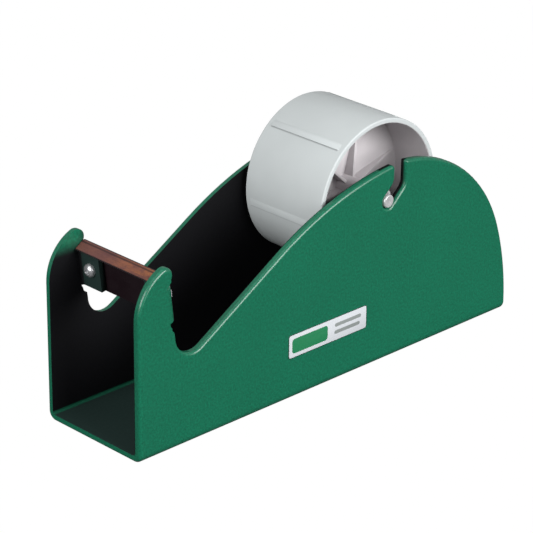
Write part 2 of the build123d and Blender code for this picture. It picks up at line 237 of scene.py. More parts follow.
def ring_tree():
    """Repeats a piece about the Y axis, from +X towards +Z."""
    def lay(tree, start, place):
        line = tree.nodes.new("GeometryNodeMeshLine")
        index = tree.nodes.new("GeometryNodeInputIndex")
        share = tree.nodes.new("ShaderNodeMath")
        turn = tree.nodes.new("ShaderNodeMath")
        spin = tree.nodes.new("FunctionNodeAxisAngleToRotation")
        share.operation = "DIVIDE"
        turn.operation = "MULTIPLY_ADD"
        share.inputs[0].default_value = 2 * pi
        line.inputs["Offset"].default_value = (0, 0, 0)
        spin.inputs["Axis"].default_value = (0, -1, 0)
        for k, step in enumerate((index, share, turn, spin, line)):
            step.location = (k * 160 - 200, -260)
        link(tree, start, "Count", line, "Count")
        link(tree, start, "Centre", line, "Start Location")
        link(tree, start, "Count", share, 1)
        link(tree, index, "Index", turn, 0)
        link(tree, share, "Value", turn, 1)
        link(tree, start, "First angle", turn, 2)
        link(tree, turn, "Value", spin, "Angle")
        link(tree, line, "Mesh", place, "Points")
        link(tree, spin, "Rotation", place, "Rotation")
    sockets = [("Count", "NodeSocketInt"), ("Centre", "NodeSocketVector"), ("First angle", "NodeSocketFloat")]
    return repeat_tree("Ring of pieces", sockets, lay)


def repeated(tree, mesh, material, merge=0.0, **values):
    """The plain mesh that a repeat tree makes from one piece."""
    holder = linked("holder", mesh)
    nodes = holder.modifiers.new("repeat", "NODES")
    nodes.node_group = tree
    known = {s.name: s.identifier for s in tree.interface.items_tree if s.in_out == "INPUT"}
    wanted = {key.replace("_", " ").capitalize(): value for key, value in values.items()}
    for label, value in dict(wanted, Merge=merge, Material=material).items():
        nodes[known[label]] = value
    return settled(holder)


# ------------------------------------------------------------------ shader helpers

class Shader:
    """A material under construction, with its Principled BSDF as the finish."""

    def __init__(self, name, group=None):
        if group is None:
            self.material = bpy.data.materials.new(name)
            self.material.use_nodes = True
            self.tree = self.material.node_tree
            self.finish = next(n for n in self.tree.nodes if n.type == "BSDF_PRINCIPLED")
        else:
            self.tree = group

    def add(self, kind, operation=None, **values):
        node = self.tree.nodes.new(kind)
        node.location = (-220 * (len(self.tree.nodes) % 7) - 200, -180 * (len(self.tree.nodes) // 7))
        if operation:
            node.operation = operation
        for key, value in values.items():
            self.put(node, key, value)
        return node

    def put(self, node, key, value):
        """Sets an input by number or by name, from a socket or a plain value."""
        if key.startswith("in"):
            socket = node.inputs[int(key[2:])]
        else:
            socket = node.inputs[key.replace("_", " ")]
        if isinstance(value, bpy.types.NodeSocket):
            self.tree.links.new(value, socket)
        else:
            socket.default_value = value

    def math(self, operation, *values, clamp=False):
        node = self.add("ShaderNodeMath", operation, **{f"in{k}": v for k, v in enumerate(values)})
        node.use_clamp = clamp
        return node.outputs[0]

    def span(self, value, low, high, to_low=0.0, to_high=1.0):
        """Value's place between low and high, carried to another span and held inside it."""
        node = self.add("ShaderNodeMapRange", None, Value=value, From_Min=low, From_Max=high,
                        To_Min=to_low, To_Max=to_high)
        node.interpolation_type = "SMOOTHSTEP"
        return node.outputs["Result"]

    def blend(self, share, first, second):
        node = self.add("ShaderNodeMix")
        node.data_type = "RGBA"
        for socket, value in ((0, share), (6, first), (7, second)):
            if isinstance(value, bpy.types.NodeSocket):
                self.tree.links.new(value, node.inputs[socket])
            else:
                node.inputs[socket].default_value = value
        return node.outputs[2]

    def place(self):
        return self.add("ShaderNodeTexCoord").outputs["Object"]

    def noise(self, where, scale, detail=3.0, roughness=0.5, distortion=0.0):
        return self.add("ShaderNodeTexNoise", None, Vector=where, Scale=scale, Detail=detail,
                        Roughness=roughness, Distortion=distortion).outputs["Fac"]

    def stretched(self, where, scale):
        return self.add("ShaderNodeMapping", None, Vector=where, Scale=scale).outputs["Vector"]

    def both(self, first, second):
        return self.math("MULTIPLY", first, second)

    def use(self, group, **values):
        node = self.add("ShaderNodeGroup")
        node.node_tree = groups()[group]
        for key, value in values.items():
            self.put(node, key, value)
        return node.outputs

    def tone(self, where, color, low, high, drift_scale, speckle_scale, speckle, drift=2.0):
        """A colour that drifts between two gains of itself."""
        return self.use("Tone drift", Vector=where, First=rgba(color, low), Second=rgba(color, high),
                        Drift_scale=drift_scale, Drift=drift, Speckle_scale=speckle_scale,
                        Speckle=speckle)["Color"]

    def grain(self, where, scale, height, depth):
        return self.use("Surface grain", Vector=where, Scale=scale, Height=height, Depth=depth)

    def bump(self, height, strength, distance):
        return self.add("ShaderNodeBump", None, Height=height, Strength=strength,
                        Distance=distance).outputs["Normal"]

    def finished(self, **values):
        """Sets the finish's inputs and gives the material."""
        for key, value in values.items():
            self.put(self.finish, key, value)
        return self.material


def shader_group(name, ins, outs):
    """An empty shader group with its named sockets; gives the builder, its input node and its output node."""
    tree = bpy.data.node_groups.new(name, "ShaderNodeTree")
    for label, kind, default in ins:
        socket = tree.interface.new_socket(label, in_out="INPUT", socket_type="NodeSocket" + kind)
        if default is not None:
            socket.default_value = default
    for label, kind in outs:
        tree.interface.new_socket(label, in_out="OUTPUT", socket_type="NodeSocket" + kind)
    return Shader(name, tree), tree.nodes.new("NodeGroupInput"), tree.nodes.new("NodeGroupOutput")


def surface_grain():
    """Small bumps of a sprayed, moulded or rubbed surface, with a mask of the same grain."""
    made, start, end = shader_group("Surface grain", [
        ("Vector", "Vector", None), ("Scale", "Float", 900.0), ("Height", "Float", 0.1),
        ("Depth", "Float", 0.0002)], [("Normal", "Vector"), ("Mask", "Float")])
    fine = made.noise(start.outputs["Vector"], start.outputs["Scale"], 2.0)
    normal = made.bump(fine, start.outputs["Height"], start.outputs["Depth"])
    made.tree.links.new(normal, end.inputs["Normal"])
    made.tree.links.new(fine, end.inputs["Mask"])
    return made.tree


def tone_drift():
    """Slow change of tone between two colours, with a fine speckle over it."""
    made, start, end = shader_group("Tone drift", [
        ("Vector", "Vector", None), ("First", "Color", (1, 1, 1, 1)), ("Second", "Color", (1, 1, 1, 1)),
        ("Drift scale", "Float", 14.0), ("Drift", "Float", 2.0), ("Speckle scale", "Float", 700.0),
        ("Speckle", "Float", 0.3)], [("Color", "Color")])
    slow = made.noise(start.outputs["Vector"], start.outputs["Drift scale"], 2.0)
    fine = made.noise(start.outputs["Vector"], start.outputs["Speckle scale"], 2.0, 0.7)
    drift = made.math("MULTIPLY_ADD", made.math("SUBTRACT", slow, 0.5), start.outputs["Drift"], 0.5)
    grain = made.math("MULTIPLY", made.math("SUBTRACT", fine, 0.5), start.outputs["Speckle"])
    share = made.math("MULTIPLY_ADD", grain, 4.0, drift, clamp=True)
    color = made.blend(share, start.outputs["First"], start.outputs["Second"])
    made.tree.links.new(color, end.inputs["Color"])
    return made.tree


def bar_mask():
    """1 inside a bar with rounded corners, drawn in X and Z."""
    made, start, end = shader_group("Printed bar", [
        ("Vector", "Vector", None), ("Centre X", "Float", 0.0), ("Centre Z", "Float", 0.0),
        ("Half length", "Float", 0.01), ("Half height", "Float", 0.002), ("Corner", "Float", 0.001)],
        [("Mask", "Float")])
    split = made.add("ShaderNodeSeparateXYZ", None, Vector=start.outputs["Vector"])
    past = []
    for axis, centre, half in (("X", "Centre X", "Half length"), ("Z", "Centre Z", "Half height")):
        off = made.math("ABSOLUTE", made.math("SUBTRACT", split.outputs[axis], start.outputs[centre]))
        straight = made.math("SUBTRACT", start.outputs[half], start.outputs["Corner"])
        past.append(made.math("MAXIMUM", made.math("SUBTRACT", off, straight), 0.0))
    square = made.math("ADD", made.math("POWER", past[0], 2.0), made.math("POWER", past[1], 2.0))
    gap = made.math("SUBTRACT", made.math("SQRT", square), start.outputs["Corner"])
    mask = made.span(gap, 0.00004, -0.00004)
    made.tree.links.new(mask, end.inputs["Mask"])
    return made.tree


def groups():
    """The shared shader groups, each made once."""
    for name, make in (("Surface grain", surface_grain), ("Tone drift", tone_drift),
                       ("Printed bar", bar_mask), ("Inside of the channel", inside_mask)):
        if name not in bpy.data.node_groups:
            make()
    return bpy.data.node_groups


def rgba(color, gain=1.0):
    return (color[0] * gain, color[1] * gain, color[2] * gain, 1.0)


# ------------------------------------------------------------------ settings

def length(name, text, default):
    return FloatProperty(name=name, description=text, default=default, unit="LENGTH", precision=5)


def tint(name, text, default):
    return FloatVectorProperty(name=name, description=text, default=default, size=3, subtype="COLOR",
                               min=0.0, max=1.0)


class PlateSettings(PropertyGroup):
    enamel: tint("Enamel", "Colour of the sprayed enamel", (0.004, 0.108, 0.057))
    # Dark tint on the inner faces of the channel.
    inside: tint("Inside", "Thin dark paint on the inner faces", (0.004, 0.004, 0.005))
    floor: tint("Channel floor", "Paint between the panels", (0.014, 0.028, 0.025))
    gloss: FloatProperty(name="Roughness", description="Roughness of the enamel", default=0.31, min=0, max=1)


class BladeSettings(PropertyGroup):
    teeth: IntProperty(name="Teeth", description="Teeth along the lip", default=45, min=2)
    tooth_depth: length("Tooth depth", "From tip to root", 0.9 * MM)
    thickness: length("Thickness", "Sheet thickness of the blade", 0.9 * MM)
    lip: length("Lip", "From the bend to the tips", 5.9 * MM)
    foot: length("Foot", "Below the screws, along the flange", 10.47 * MM)
    top: length("Top", "Above the screws, along the flange", 12.08 * MM)
    lean: FloatProperty(name="Lean", description="How far the flange leans forward", default=radians(6.8),
                        subtype="ANGLE")
    drop: FloatProperty(name="Drop", description="Fall of the lip off square", default=radians(26.9),
                        subtype="ANGLE")
    brown: tint("Brown", "Browned flange", (0.016, 0.008, 0.011))
    rose: tint("Rose", "Browned lip", (0.125, 0.050, 0.046))
    straw: tint("Straw", "Warmer temper colour", (0.33, 0.115, 0.042))


class FastenerSettings(PropertyGroup):
    head_radius: length("Head radius", "Pan head of the blade screws", 3.2 * MM)
    head_height: length("Head height", "Pan head of the blade screws", 2.6 * MM)
    recess: length("Recess", "Span of the cross recess", 3.6 * MM)
    nut_flats: length("Nut", "Across flats", 5.5 * MM)
    plating: tint("Plating", "Bright zinc", (0.74, 0.75, 0.77))


class DrumSettings(PropertyGroup):
    radius: length("Radius", "Outside of the shell", 37.785 * MM)
    wall: length("Wall", "Shell thickness", 2.4 * MM)
    web: length("Web", "Thickness of the middle web", 3.0 * MM)
    gussets: IntProperty(name="Gussets", description="Gussets on each face of the web", default=6, min=2)
    gusset_angle: FloatProperty(name="Gusset angle", description="First gusset, from +X towards +Z",
                                default=radians(14.5), subtype="ANGLE")
    grips: IntProperty(name="Grips", description="Grip ramps round the shell", default=6, min=2)
    grip_angle: FloatProperty(name="Grip angle", default=radians(10.4), subtype="ANGLE",
                              description="Steep side of the first grip, from +X towards +Z")
    grip_spread: FloatProperty(name="Grip spread", description="Angle that a grip ramp takes up",
                               default=radians(6.3), subtype="ANGLE")
    grip_half: length("Grip half length", "From the web's plane to a grip's end", 21.5 * MM)
    plastic: tint("Plastic", "Pale moulding", (0.445, 0.475, 0.478))
    # Painted light: a lighter, pinker copy of the moulding for inside the shell.
    hollow_painted_light: tint("Inside", "Moulding inside the shell", (0.56, 0.53, 0.545))


class TrimSettings(PropertyGroup):
    film: tint("Label", "Film of the label", (0.49, 0.51, 0.535))
    print_green: tint("Bar", "Printed bar", (0.010, 0.150, 0.060))
    print_grey: tint("Rules", "Printed rules", (0.20, 0.22, 0.215))
    # Painted shadow round the label's edge.
    rim: tint("Label edge shadow", "Dark edge of the film", (0.02, 0.05, 0.04))
    rubber: tint("Rubber", "Pads", (0.018, 0.018, 0.019))
    steel: tint("Steel", "Axle and clips", (0.66, 0.66, 0.67))
    pad_length: length("Pad length", "Pads, along the channel", 31.5 * MM)
    front_width: length("Front pad width", "Across the channel", 33.0 * MM)
    rear_width: length("Rear pad width", "Across the channel", 43.0 * MM)
    rear_turn: FloatProperty(name="Rear pad turn", description="How far off square the rear pad was stuck on",
                             default=radians(-8.0), subtype="ANGLE")


class StageSettings(PropertyGroup):
    azimuth: FloatProperty(name="Azimuth", description="Camera's side", default=radians(-44.29),
                           subtype="ANGLE")
    elevation: FloatProperty(name="Elevation", description="Camera's height", default=radians(23.79),
                             subtype="ANGLE")
    roll: FloatProperty(name="Roll", description="Camera's turn about its view", default=radians(0.57),
                        subtype="ANGLE")
    distance: length("Distance", "Camera to target", 1.2083)
    target: FloatVectorProperty(name="Target", description="Where the camera looks", size=3, unit="LENGTH",
                                default=(0.00116, 0.01551, 0.04600))
    lens: FloatProperty(name="Lens", description="Focal length on a 36 mm sensor", default=175.0)
    fill: FloatProperty(name="Fill", description="Light from all round, on the object", default=0.36, min=0)
    floor_tone: FloatProperty(name="Floor tone", description="What the floor throws back on the object",
                              default=0.07, min=0, max=1)


SETTINGS = {"plate": PlateSettings, "blade": BladeSettings, "fastener": FastenerSettings,
            "drum": DrumSettings, "trim": TrimSettings, "stage": StageSettings}


def settings(name):
    return getattr(bpy.context.scene, "dispenser_" + name)


# ------------------------------------------------------------------ materials

def inside_mask():
    """Masks of the inner faces of the channel, of its floor and tabs, and of its inner bends. The first mask
    takes in the slot's walls as painted shade and leaves out the ear tips as painted light; the bend mask is
    a painted highlight.
    """
    made, start, end = shader_group("Inside of the channel", [
        ("Vector", "Vector", None), ("Inner half width", "Float", 0.0279), ("Floor top", "Float", 0.0064),
        ("Ear X", "Float", -0.1), ("Ear Z", "Float", 0.084),
        ("Slot X", "Float", 0.0375)], [("Mask", "Float"), ("Floor", "Float"), ("Bend", "Float")])
    split = made.add("ShaderNodeSeparateXYZ", None, Vector=start.outputs["Vector"])
    edge = start.outputs["Inner half width"]
    # across is negative outside, 0.35 mm on the panels' inner faces, and more on the floor and the tabs
    across = made.math("SUBTRACT", edge, made.math("ABSOLUTE", split.outputs["Y"]))
    over = made.math("SUBTRACT", split.outputs["Z"], start.outputs["Floor top"])
    within = made.both(made.span(across, -0.00005, 0.0002), made.span(over, -0.0003, -0.00005))
    # The ear tips' inner faces are left out of the dark tint and keep the green enamel: painted light where
    # the light reaches them.
    height = made.math("SUBTRACT", split.outputs["Z"], start.outputs["Ear Z"])
    back = made.math("SUBTRACT", split.outputs["X"], start.outputs["Ear X"])
    tip = made.both(made.span(height, -0.004, 0.004), made.span(back, 0.004, -0.004))
    # The walls of the axle slot take the dark tint as well: painted shade.
    off_slot = made.math("ABSOLUTE", made.math("SUBTRACT", split.outputs["X"], start.outputs["Slot X"]))
    slot = made.both(made.span(made.math("ADD", across, 0.0016), -0.0002, 0.0006),
                     made.span(off_slot, 0.0095, 0.0085))
    slot = made.both(slot, made.span(split.outputs["Z"], 0.070, 0.072))
    mask = made.both(made.math("MAXIMUM", within, slot), made.math("SUBTRACT", 1.0, tip))
    low = made.both(within, made.span(over, 0.0009, 0.0003))
    tabs = made.both(made.span(across, 0.0008, 0.0016), made.span(over, 0.030, 0.035))
    # Painted highlight: a band along the inner bends, lighter in the enamel.
    bend = made.both(made.span(across, 0.0018, 0.0013), made.span(over, 0.0014, 0.0009))
    for name, value in (("Mask", mask), ("Floor", made.math("MAXIMUM", low, tabs)), ("Bend", bend)):
        made.tree.links.new(value, end.inputs[name])
    return made.tree


def enamel():
    """Semi-gloss green enamel outside, with faint orange peel, a dark tint inside the channel with painted
    shade on the slot walls, and a painted highlight along the inner bends.
    """
    values = settings("plate")
    made = Shader("Green enamel")
    where = made.place()
    tone = made.tone(where, values.enamel, 0.72, 1.30, 26.0, 1000.0, 0.60, drift=0.3)
    grain = made.grain(where, 620.0, 0.10, 0.00012)
    inside = made.use("Inside of the channel", Vector=where)
    dark = made.blend(inside["Floor"], rgba(values.inside), rgba(values.floor))
    # Painted highlight: along the inner bends the dark tint turns partly back to the green enamel.
    dark = made.blend(made.both(inside["Bend"], 0.6), dark, rgba(values.enamel))
    rough = made.span(grain["Mask"], 0.3, 0.7, values.gloss - 0.03, values.gloss + 0.04)

    def inward(outside, change):
        return made.math("MULTIPLY_ADD", inside["Mask"], change, outside)

    # The inner faces take the dark tint, with painted shade on the slot walls and the ear tips left green as
    # painted light.
    return made.finished(Base_Color=made.blend(inside["Mask"], tone, dark), Normal=grain["Normal"],
                         Roughness=inward(rough, 0.35), IOR=1.42, Specular_IOR_Level=inward(0.5, -0.36),
                         Coat_Weight=inward(0.3, -0.3), Coat_Roughness=0.2)


def browned_steel():
    """Spring steel browned by heat: rose-brown lip with straw clouds and a darker flange, with painted shade
    in a line by the rear bend and at the tips.
    """
    values = settings("blade")
    made = Shader("Browned blade steel")
    where = made.place()
    origin = tab_place(0, 0, 0)
    split = made.add("ShaderNodeSeparateXYZ", None, Vector=where)
    rise = made.both(made.math("SUBTRACT", split.outputs["Z"], origin.z), sin(values.lean))
    ahead = made.math("MULTIPLY_ADD", made.math("SUBTRACT", split.outputs["X"], origin.x), cos(values.lean),
                      rise)
    lip = made.span(ahead, -0.0001, -0.0009)
    cloud = made.noise(made.stretched(where, (1.0, 0.45, 1.0)), 220.0, 4.0, 0.62)
    fine = made.noise(where, 1500.0, 3.0, 0.65)
    streak = made.noise(made.stretched(where, (1.0, 0.05, 1.0)), 1500.0, 3.0, 0.6)
    near = made.span(split.outputs["Y"], 0.018, -0.027)
    share = made.both(made.span(cloud, 0.30, 0.68), made.math("MULTIPLY_ADD", near, 0.85, 0.15))
    top = made.blend(share, rgba(values.rose), rgba(values.straw))
    top = made.blend(made.span(fine, 0.42, 0.75, 0.0, 0.45), top, rgba(values.rose, 0.40))
    tone = made.blend(lip, rgba(values.brown), top)
    tone = made.blend(made.span(streak, 0.45, 0.8, 0.0, 0.30), tone, rgba(values.brown, 0.5))
    # Painted shade: darker at the tips and in a line by the rear bend.
    tips = made.span(ahead, -0.0054, -0.0058)
    bend = made.both(made.span(ahead, -0.0021, -0.0018), made.span(ahead, -0.0010, -0.0014))
    dark = made.math("MAXIMUM", tips, made.both(bend, 0.7))
    return made.finished(Base_Color=made.blend(dark, tone, rgba(values.brown, 0.8)),
                         Metallic=made.math("MULTIPLY_ADD", lip, -0.25, 0.45),
                         Roughness=made.span(cloud, 0.3, 0.7, 0.34, 0.46),
                         Normal=made.bump(streak, 0.15, 0.00005))


def plating():
    """Bright zinc plating with light swirls."""
    zinc = settings("fastener").plating
    made = Shader("Bright plating")
    swirl = made.noise(made.place(), 1400.0, 3.0, 0.6)
    tone = made.blend(made.span(swirl, 0.4, 0.75, 0.0, 0.4), rgba(zinc), rgba(zinc, 0.72))
    return made.finished(Base_Color=tone, Metallic=0.8, Roughness=made.span(swirl, 0.3, 0.7, 0.20, 0.32))


def turned_steel():
    """Bright turned steel, with fine rings round the rod."""
    steel = settings("trim").steel
    made = Shader("Turned steel")
    rings = made.noise(made.stretched(made.place(), (0.15, 9.0, 0.15)), 700.0, 3.0, 0.6)
    tone = made.blend(made.span(rings, 0.35, 0.75, 0.0, 0.5), rgba(steel), rgba(steel, 0.75))
    return made.finished(Base_Color=tone, Metallic=0.55, Roughness=made.span(rings, 0.3, 0.7, 0.22, 0.34),
                         Normal=made.bump(rings, 0.12, 0.00004))


def drum_plastic():
    """Pale grey moulding, satin, with a lighter, pinker tint inside the shell as painted light, painted shade
    at the grips' steep sides and a painted highlight on their ramps.
    """
    values = settings("drum")
    made = Shader("Drum plastic")
    where = made.place()
    split = made.add("ShaderNodeSeparateXYZ", None, Vector=where)
    across = made.math("SUBTRACT", split.outputs["X"], AXLE.x)
    up = made.math("SUBTRACT", split.outputs["Z"], AXLE.z)
    square = made.math("ADD", made.math("POWER", across, 2.0), made.math("POWER", up, 2.0))
    bore = values.radius - values.wall
    inner = made.span(made.math("SQRT", square), bore + 0.4 * MM, bore)
    pitch = 2 * pi / values.grips
    angle = made.math("SUBTRACT", made.math("ARCTAN2", up, across), values.grip_angle)
    past = made.math("FLOORED_MODULO", angle, pitch)
    end = values.grip_half
    along = made.span(made.math("ABSOLUTE", split.outputs["Y"]), end, end - 0.3 * MM)
    # Painted shade: darker at each grip's steep side and at its foot.
    step = made.math("MAXIMUM", made.span(past, radians(1.1), radians(0.6)),
                     made.span(past, pitch - radians(0.15), pitch - radians(0.02)))
    # Painted highlight: lighter on the top of each grip's ramp.
    ramp = made.span(past, pitch - values.grip_spread * 0.85, pitch - values.grip_spread * 0.55)
    tone = made.tone(where, values.plastic, 0.96, 1.03, 45.0, 1600.0, 0.06)
    # Painted light: the lighter, pinker moulding tint inside the shell.
    painted_hollow_light = made.tone(where, values.hollow_painted_light, 0.94, 1.04, 60.0, 1600.0, 0.16)
    grain = made.grain(where, 1500.0, 0.08, 0.00006)
    shell = made.blend(made.both(made.both(ramp, along), 0.35), tone, rgba(values.plastic, 1.22))
    shell = made.blend(made.both(made.both(step, along), 0.45), shell, rgba(values.plastic, 0.40))
    return made.finished(Base_Color=made.blend(inner, shell, painted_hollow_light), Normal=grain["Normal"],
                         Roughness=made.span(grain["Mask"], 0.3, 0.7, 0.46, 0.56))


def pad_rubber():
    """Black foam rubber with open pores."""
    made = Shader("Pad rubber")
    where = made.place()
    grain = made.grain(where, 1700.0, 0.6, 0.0002)
    return made.finished(Base_Color=made.tone(where, settings("trim").rubber, 0.8, 1.5, 90.0, 2200.0, 0.4),
                         Normal=grain["Normal"], Roughness=made.span(grain["Mask"], 0.3, 0.7, 0.75, 0.95))


def label_film():
    """White film with one plain green bar, a few grey rules and a painted shadow round its edge."""
    values = settings("trim")
    low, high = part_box("side_label")
    size = high - low
    made = Shader("Label film")
    where = made.place()

    def bar(across, up, half_length, half_height, corner_share=1.0):
        return made.use("Printed bar", Vector=where, Centre_X=low.x + across * size.x,
                        Centre_Z=low.z + up * size.z, Half_length=half_length * size.x,
                        Half_height=half_height * size.z, Corner=corner_share * half_height * size.z)["Mask"]

    tone = made.tone(where, values.film, 0.98, 1.02, 80.0, 1500.0, 0.05)
    tone = made.blend(bar(0.27, 0.49, 0.225, 0.31, 0.45), tone, rgba(values.print_green))
    rules = made.math("MAXIMUM", bar(0.755, 0.66, 0.17, 0.075), bar(0.745, 0.36, 0.165, 0.075))
    tone = made.blend(rules, tone, rgba(values.print_grey))
    # Painted shadow: a dark band round the film's edge, outside an inset bar.
    tone = made.blend(bar(0.5, 0.5, 0.493, 0.470, 0.19), rgba(values.rim), tone)
    grain = made.grain(where, 900.0, 0.05, 0.00005)
    return made.finished(Base_Color=tone, Normal=grain["Normal"],
                         Roughness=made.span(grain["Mask"], 0.3, 0.7, 0.32, 0.42))


# ------------------------------------------------------------------ pieces

class DISPENSER_OT_plate(Operator):
    """Enamels the folded plate and shades its bends and rolled edges smooth"""
    bl_idname = "dispenser.plate"
    bl_label = "Folded plate"

    def execute(self, context):
        finished("folded_plate", smooth_copy("base_frame"), enamel(), "frame", "green_enamel", "base_frame",
                 smooth=None)
        return {"FINISHED"}


def tab_place(along, across, up):
    """A point given from the screws' height on the tabs' rear face: rearward, across, up the tab."""
    lean = settings("blade").lean
    normal = Vector((cos(lean), 0, sin(lean)))
    rise = Vector((-sin(lean), 0, cos(lean)))
    washer = (middle("blade_washer_left") + middle("blade_washer_right")) / 2
    start = washer - normal * (settings("blade").thickness + WASHER / 2)
    return start + along * normal + Vector((0, across, 0)) + up * rise


def blade_section(root):
    """Closed section of the blade, its lip ending at the tips or, for root 1, at the roots of the teeth."""
    values = settings("blade")
    inside = 0.5 * MM
    outside = inside + values.thickness
    centre = (values.thickness - outside, values.top - outside)
    turn = 90 + values.drop * 180 / pi
    outer = corner(centre, outside, 0, turn, 8)
    inner = corner(centre, inside, turn, 0, 8)
    way = (-cos(values.drop), -sin(values.drop))
    reach = values.lip - root * values.tooth_depth
    tip = 0.12 * MM
    ground = 2.2 * MM

    def ahead(point, run):
        return (point[0] + run * way[0], point[1] + run * way[1])

    edge = ahead(outer[-1], reach)
    under = (edge[0] + tip * sin(values.drop), edge[1] - tip * cos(values.drop))
    lower = ahead(inner[0], values.lip - ground)
    rim = 0.15 * MM
    return ([(0, -values.foot + rim), (rim, -values.foot), (values.thickness - rim, -values.foot),
             (values.thickness, -values.foot + rim)]
            + outer + [ahead(outer[-1], values.lip - ground), edge, under, lower] + inner)


class DISPENSER_OT_blade(Operator):
    """Makes the toothed blade from one slice, a tooth wide, repeated along its length"""
    bl_idname = "dispenser.blade"
    bl_label = "Toothed blade"

    def execute(self, context):
        values = settings("blade")
        long = extent("cutter_blade").y
        pitch = long / values.teeth
        form = bmesh.new()
        columns = []
        for root, y in ((1, 0.0), (0, pitch / 2), (1, pitch)):
            columns.append([form.verts.new(tab_place(a, y, b)) for a, b in blade_section(root)])
        skin(form, columns)
        row = repeated(row_tree(), to_mesh(form), None, 1e-6, count=values.teeth,
                       start=(0, -long / 2, 0), step=(0, pitch, 0))
        whole = bmesh.new()
        whole.from_mesh(row)
        bmesh.ops.holes_fill(whole, edges=[e for e in whole.edges if e.is_boundary], sides=0)
        finished("toothed_blade", outward(whole), browned_steel(), "frame", "blade_steel", "cutter_blade",
                 smooth=35)
        return {"FINISHED"}


def on_tab(mesh, across=0.0):
    """Carries a mesh turned about Y onto the screw axis, its +Y pointing back through the tab."""
    lean = settings("blade").lean
    normal = Vector((cos(lean), 0, sin(lean)))
    side = Vector((0, 1, 0))
    turn = Matrix((side.cross(normal).normalized(), normal, side)).transposed().to_4x4()
    mesh.transform(Matrix.Translation(tab_place(0, across, 0)) @ turn)
    return mesh


def screw_mesh():
    """Pan-head screw with a thread and a cross recess, its head on the tab's front face."""
    values = settings("fastener")
    face = -PLATE
    r, tall = values.head_radius, values.head_height
    end = 5.6 * MM
    shank = 1.5 * MM
    side = 0.55 * MM
    fullness = 0.82
    dome = []
    for k in range(9):
        turn = pi / 2 * k / 8
        dome.append((r * cos(turn) ** fullness, face - side - (tall - side) * sin(turn)))
    profile = [(0, end), (shank - 0.45 * MM, end), (shank - 0.12 * MM, end - 0.35 * MM)]
    pitch, turns, crest, root = 0.5 * MM, 11, shank - 0.02 * MM, shank - 0.28 * MM
    for k in range(turns):
        y = end - (k + 1) * pitch
        profile += [(crest, y), (root, y - pitch / 2)]
    profile += [(shank - 0.1 * MM, face + 0.05 * MM), (shank, face), (r - 0.1 * MM, face),
                (r, face - 0.1 * MM)] + dome
    profile[-1] = (0, profile[-1][1])
    head = lathe(profile, 40, closed=False)
    span, wide, deep, above = values.recess / 2, 0.42 * MM, 1.35 * MM, 0.6 * MM
    top, foot, foot_share = face - tall - above, face - tall + deep, 0.42
    points = [(-span, top), (span, top), (span * foot_share, foot), (-span * foot_share, foot)]
    cutters = []
    for turn in (35, 125):
        slot = prism(points, wide, lambda a, b, c: (a, b, c))
        slot.transform(Matrix.Rotation(radians(turn), 4, "Y"))
        cutters.append(slot)
    return cut(head, *cutters)


def cut(mesh, *cutters):
    """Mesh with each cutter taken out of it."""
    holder = linked("holder", mesh)
    tools = []
    for cutter in cutters:
        tool = linked("tool", cutter)
        take = holder.modifiers.new("take", "BOOLEAN")
        take.operation = "DIFFERENCE"
        take.solver = "EXACT"
        take.object = tool
        tools.append(tool)
    result = settled(holder)
    for tool in tools:
        bpy.data.objects.remove(tool)
    return result


def nut_mesh():
    """Hexagon nut, its corners turned off, on the washer behind the blade."""
    flat = settings("fastener").nut_flats / 2
    start = settings("blade").thickness + WASHER
    end = start + 2.4 * MM
    bore, rim = 1.52 * MM, 0.3 * MM
    lead, face_edge, corner_start, slant = radians(12), flat * 0.99, flat * 1.01, 0.55
    form = bmesh.new()
    rings = []
    steps = 48
    for k in range(steps):
        turn = 2 * pi * k / steps
        r = flat / cos((turn + lead) % (pi / 3) - pi / 6)
        fall = max(0.0, r - corner_start) * slant
        rings.append(spun(form, turn, [
            (bore, start + rim), (bore + rim, start), (face_edge, start), (r, start + fall), (r, end - fall),
            (face_edge, end), (bore + rim, end), (bore, end - rim)]))
    skin(form, rings, True)
    return outward(form)


def washer_mesh():
    """Plain stamped washer with one rolled edge."""
    start = settings("blade").thickness
    r, bore, rim = 3.1 * MM, 1.6 * MM, 0.15 * MM
    return lathe([(bore, start), (r, start), (r, start + WASHER - rim), (r - rim, start + WASHER),
                  (bore, start + WASHER)], 48)


class DISPENSER_OT_fasteners(Operator):
    """Makes one screw, washer and nut and repeats them at both tabs"""
    bl_idname = "dispenser.fasteners"
    bl_label = "Blade fasteners"

    def execute(self, context):
        bright = plating()
        left, right = middle("blade_washer_left").y, middle("blade_washer_right").y
        for name, node, make in (("pan_screws", "blade_screw", screw_mesh),
                                 ("washers", "blade_washer", washer_mesh),
                                 ("hexagon_nuts", "blade_nut", nut_mesh)):
            mesh = repeated(row_tree(), on_tab(make()), bright, count=2, start=(0, left, 0),
                            step=(0, right - left, 0))
            finished(name, mesh, bright, "frame", "screw_plating", node + "_left", node + "_right",
                     smooth=28)
        return {"FINISHED"}


